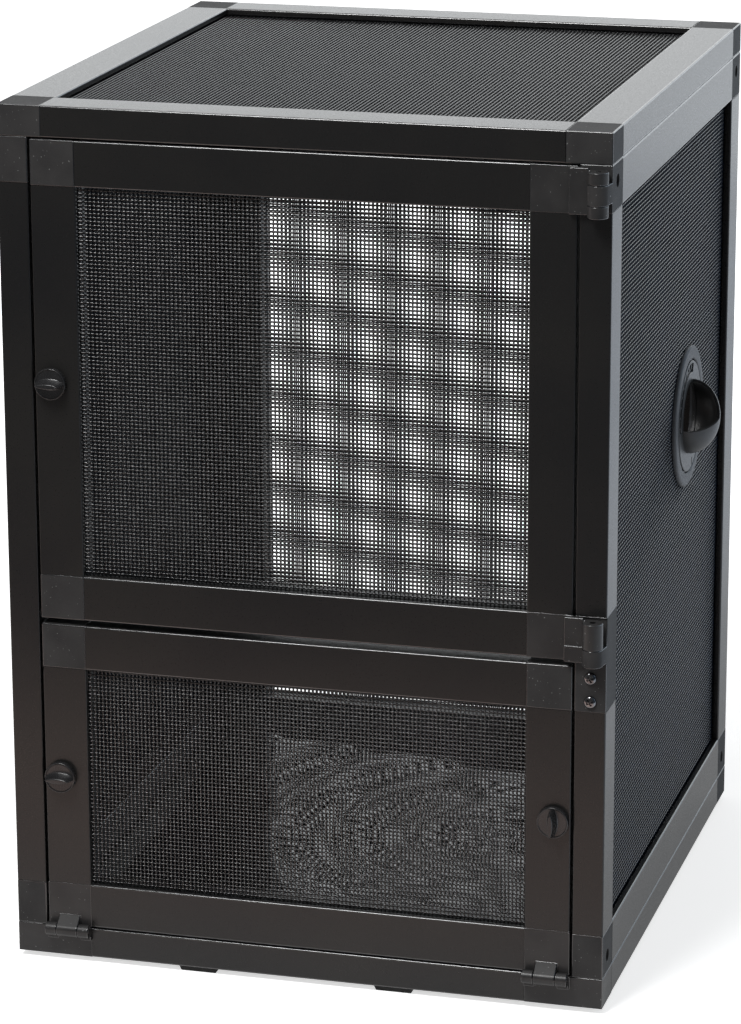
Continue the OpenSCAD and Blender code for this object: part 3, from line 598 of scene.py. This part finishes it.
sheet_rim = ([i * sheet_row for i in range(sheet_steps)]
             + [sheet_steps * sheet_row + j for j in range(sheet_steps)]
             + [i * sheet_row + sheet_steps for i in range(sheet_steps, 0, -1)]
             + list(range(sheet_steps, 0, -1)))
for a, b in zip(sheet_rim, sheet_rim[1:] + sheet_rim[:1]):
    sheet_faces.append((b, a, a + sheet_under, b + sheet_under))
new_piece("floor_sheet_wavy", np.concatenate([sheet_top, sheet_bottom]).tolist(), sheet_faces, gloss_black,
          "floor_sheet", "cage", "floor_plastic")

# Screws, hinge pins and latch tongues: steel with a dark nickel plating. The frame screws are sunk in the
# corner blocks, the pins are pushed into the outer knuckles, and the tongues are riveted to the knobs' shafts.
nickel_colours = ((0.11, 0.11, 0.115, 1.0), (0.20, 0.20, 0.205, 1.0))
nickel_cloud = (200.0, 3.0)
steel_edge = 0.0003
dark_nickel = new_finish("dark_nickel", ior=1.5, colours=nickel_colours, cloud=nickel_cloud,
                         grain=nickel_cloud, gloss=(0.10, 0.20), metal=1.0)
for name in ("frame_screws", "upper_hinge_pins", "lower_hinge_pins",
             "upper_latch_tongue", "left_latch_tongue", "right_latch_tongue"):
    ease(solids[name], steel_edge)
    paint(solids[name], dark_nickel)

# Hinge block screws: two domed pan heads with a cross recess, plated like the rest, driven through the block
# into the post. These sizes, and those of the knobs and the port, are in millimetres.
mm_in_metre = 1000
head_high = 2.4
head_steps = 96
shank_radius = 1.9
cross_from = 2.0
cross_long = 2.5
cross_wide = 0.55
cross_deep = 1.2
cross_lean = math.radians(28)
head_dome = [(4.3, 0.0), (4.3, 0.5), (4.2, 0.95), (3.95, 1.4), (3.5, 1.8), (3.0, 2.05), (2.5, 2.2),
             (2.2, 2.26), (1.9, 2.31), (1.6, 2.35), (1.3, 2.37), (1.0, 2.39), (0.7, 2.4), (0.4, 2.4),
             (0, 2.4)]
head_radius = head_dome[0][0]


def circle(steps):
    return [math.tau * k / steps for k in range(steps)]


def turned(profile, angles, closed=False, whole=True):
    points, rows, faces = [], [], []
    for radius, height in profile:
        if radius == 0:
            rows.append([len(points)] * len(angles))
            points.append((0.0, 0.0, height))
        else:
            rows.append(list(range(len(points), len(points) + len(angles))))
            points += [(radius * math.cos(angle), radius * math.sin(angle), height) for angle in angles]
    next_rows = rows[1:] + rows[:1] if closed else rows[1:]
    for low, high in zip(rows, next_rows):
        for k in range(len(angles) if whole else len(angles) - 1):
            n = (k + 1) % len(angles)
            face = tuple(dict.fromkeys((low[k], low[n], high[n], high[k])))
            if len(face) > 2:
                faces.append(face)
    if not whole:
        faces += [tuple(row[0] for row in rows), tuple(row[-1] for row in reversed(rows))]
    return points, faces


def joined(first, second):
    shift = len(first[0])
    return first[0] + second[0], first[1] + [tuple(i + shift for i in face) for face in second[1]]


screws_low, screws_high = (np.array(corner) * mm_in_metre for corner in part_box("hinge_block_screws"))
screw_x = (screws_low[0] + screws_high[0]) / (2 * mm_in_metre)
block_face = screws_low[1] + head_high
shank_end = block_face - screws_high[1]
screw_turn = [(0, shank_end), (shank_radius, shank_end), (shank_radius, 0.0)] + head_dome
head_points, head_faces = turned(screw_turn, circle(head_steps))
driven = []
for u, v, w in head_points:
    a = u * math.cos(cross_lean) + v * math.sin(cross_lean)
    b = v * math.cos(cross_lean) - u * math.sin(cross_lean)
    in_cross = w > cross_from and math.hypot(u, v) < cross_long and min(abs(a), abs(b)) < cross_wide
    driven.append((u, v, w - cross_deep if in_cross else w))
screws = ([], [])
for screw_z in (screws_low[2] + head_radius, screws_high[2] - head_radius):
    placed = [(screw_x + u / mm_in_metre, (block_face - w) / mm_in_metre, (screw_z + v) / mm_in_metre)
              for u, v, w in driven]
    screws = joined(screws, (placed, head_faces))
screw_piece = new_piece("hinge_block_screws_domed", *screws, dark_nickel, "hinge_block_screws", "cage",
                        "screw_steel")
settle_shading(screw_piece)

# Latch knobs: a turned disc with a rounded rim and a boat-shaped grip, moulded in black in one piece with
# the shaft through the stile. The shaft's end is riveted over the steel tongue.
knob_colours = ((0.014, 0.014, 0.015, 1.0), (0.022, 0.022, 0.023, 1.0))
knob_proud = 0.0123
knob_turn = [(0, -25), (3.2, -25), (4, -24.6), (4, -24), (2.5, -24), (2.5, -22), (4, -22), (4, 0.3), (10.4, 0.3),
             (11, 0.8), (11, 3.9), (10.9, 4.3), (10.65, 4.55), (10.3, 4.62), (10.0, 4.55), (9.8, 4.35),
             (9.5, 4.22), (0, 4.15)]
grip_rise = [(3.6, 10.6, 4.4), (4.2, 10.5, 4.1), (4.35, 10.45, 3.75), (4.7, 10.4, 3.4), (5.4, 10.3, 3.15),
             (7.0, 9.8, 2.75), (9.0, 9.1, 2.35), (11.3, 8.4, 1.95), (11.85, 8.2, 1.8), (12.15, 7.9, 1.5),
             (12.3, 7.4, 1.0)]
grip_point = 1.35
knob_steps = 96
grip_steps = 48
knob_black = new_finish("knob_black", ior=1.5, colours=knob_colours, cloud=(90.0, 3.0),
                        grain=(1500.0, 2.0), gloss=(0.20, 0.32), skin=(0.12, 0.00008))


def boat_grip(upright):
    points, faces = [], []
    for height, half_long, half_wide in grip_rise:
        for turn in circle(grip_steps):
            along = half_long * math.cos(turn)
            aside = half_wide * math.copysign(abs(math.sin(turn)) ** grip_point, math.sin(turn))
            points.append((-aside, along, height) if upright else (along, aside, height))
    for row in range(len(grip_rise) - 1):
        for k in range(grip_steps):
            n = (k + 1) % grip_steps
            a = row * grip_steps
            faces.append((a + k, a + n, a + n + grip_steps, a + k + grip_steps))
    faces.append(tuple(reversed(range(grip_steps))))
    top = (len(grip_rise) - 1) * grip_steps
    faces.append(tuple(range(top, top + grip_steps)))
    return points, faces


for node, body, upright in (("upper_latch_knob", "upper_latch", False),
                            ("left_latch_knob", "lower_left_latch", False),
                            ("right_latch_knob", "lower_right_latch", True)):
    knob_low, knob_high = (np.array(corner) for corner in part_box(node))
    knob_axis = (knob_low + knob_high) / 2
    door_face = knob_low[1] + knob_proud
    knob_points, knob_faces = joined(turned(knob_turn, circle(knob_steps)), boat_grip(upright))
    knob_points = [(knob_axis[0] + a / mm_in_metre, door_face - w / mm_in_metre, knob_axis[2] + b / mm_in_metre)
                   for a, b, w in knob_points]
    knob_piece = new_piece(node + "_moulded", knob_points, knob_faces, knob_black, node, body, "knob_plastic")
    settle_shading(knob_piece)

# Side port: a crowned bezel outside the mesh and a clamp ring inside it, snapped together through the hole.
# Both are moulded in grey plastic with a satin face.
port_colours = ((0.038, 0.041, 0.046, 1.0), (0.053, 0.056, 0.062, 1.0))
port_plane = 0.17865
port_steps = 180
ring_edge = 0.0004
bezel_turn = [(51.5, 16.5), (51.5, 17.5), (51.2, 18.4), (50.4, 19.1), (49.2, 19.5), (43.0, 19.5), (42.2, 19.3),
              (41.7, 18.9), (41.5, 18.3), (41.5, 16.5), (42.8, 16.5), (42.8, 13.5), (44.2, 13.5), (44.2, 16.5)]
port_grey = new_finish("port_grey", ior=1.42, colours=port_colours, cloud=(60.0, 3.0),
                       grain=(1400.0, 2.0), gloss=(0.46, 0.60), skin=(0.15, 0.0001))


def on_port(points):
    return [(port_plane + w / mm_in_metre, port_hole[0] + u / mm_in_metre, port_hole[1] + v / mm_in_metre)
            for u, v, w in points]


bezel_points, bezel_faces = turned(bezel_turn, circle(port_steps), closed=True)
bezel_piece = new_piece("port_bezel_crowned", on_port(bezel_points), bezel_faces, port_grey, "port_bezel", "cage",
                        "port_plastic")
settle_shading(bezel_piece)
ease(solids["port_clamp_ring"], ring_edge)
paint(solids["port_clamp_ring"], port_grey)

# Port cover: a black ring that turns in the bezel, with a sunk toothed track and a stop slot, and a domed hood
# over its hole. It is moulded in one piece. The hood is open on one side, so feed or a tube goes in under it.
cover_colours = ((0.011, 0.011, 0.012, 1.0), (0.017, 0.018, 0.019, 1.0))
cover_steps = 360
cover_turn = [(24.5, 17.5), (37.4, 17.5), (37.4, 13.6), (42.7, 13.6), (42.7, 16.4), (41.3, 16.4), (41.3, 17.6),
              (40.2, 17.6), (40.2, 19.1), (39.8, 19.5), (38.6, 19.5), (38.2, 19.5), (34.2, 19.5), (33.9, 19.5),
              (32.2, 19.5), (31.8, 19.5), (25.2, 19.5), (24.5, 19.0)]
face_high = 19.5
face_from = 18.5
mouth_from = 72.0
mouth_to = 192.0
track_inner = 32.0
track_outer = 38.5
track_deep = 1.5
track_end = 3
tooth_inner = 33.95
tooth_step = 12.0
tooth_wide = 4.0
tooth_sunk = 0.2
slot_at = 284.0
slot_wide = 3.0
slot_inner = 34.0
hood_steps = 80
hood_arc_step = 5
hood_rim = 27.0
hood_rise = 21.7
hood_wall = 2.0
hood_foot = 19.0
lip_edge = 0.0003
lip_angle = math.radians(50)
cover_black = new_finish("cover_black", ior=1.48, colours=cover_colours, cloud=(70.0, 3.0),
                         grain=(1300.0, 2.0), gloss=(0.36, 0.50), skin=(0.10, 0.00008))
ring_points, ring_faces = turned(cover_turn, circle(cover_steps), closed=True)
shaped = []
for index, (u, v, w) in enumerate(ring_points):
    radius = cover_turn[index // cover_steps][0]
    angle = (index % cover_steps) * 360.0 / cover_steps
    top = w > face_from
    in_track = track_inner < radius < track_outer and mouth_from + track_end < angle < mouth_to - track_end
    if top and in_track:
        past_gap = (angle - mouth_from - track_end) % tooth_step > tooth_step - tooth_wide
        w -= tooth_sunk if past_gap and radius > tooth_inner else track_deep
    if top and radius > slot_inner and abs(angle - slot_at) < slot_wide / 2:
        w -= track_deep
    shaped.append((u, v, w))
hood_arc = [math.radians(a) for a in range(0, 90, hood_arc_step)]
hood_line = (
    [(hood_rim, hood_foot)]
    + [(hood_rim * math.cos(a), face_high + hood_rise * math.sin(a)) for a in hood_arc]
    + [(0.0, face_high + hood_rise), (0.0, face_high + hood_rise - hood_wall)]
    + [((hood_rim - hood_wall) * math.cos(a), face_high + (hood_rise - hood_wall) * math.sin(a))
       for a in reversed(hood_arc)]
    + [(hood_rim - hood_wall, hood_foot)])
hood_angles = [math.radians(mouth_to + (360.0 - mouth_to + mouth_from) * k / hood_steps)
               for k in range(hood_steps + 1)]
hood = turned(hood_line, hood_angles, closed=True, whole=False)
cover_points, cover_faces = joined((shaped, ring_faces), hood)
cover_piece = new_piece("port_cover_hooded", on_port(cover_points), cover_faces, cover_black, "port_cover",
                        "port_cover", "port_plastic")
# The cover's sharp edges, the hood's lips among them, take the paler, glossier edge coat, a painted highlight.
lip = cover_piece.modifiers.new("eased_lips", "BEVEL")
lip.limit_method = "ANGLE"
lip.angle_limit = lip_angle
lip.width = lip_edge
lip.segments = 2
lip.material = 1
cover_piece.data.materials.append(painted_glint_edge)
settle_shading(cover_piece)
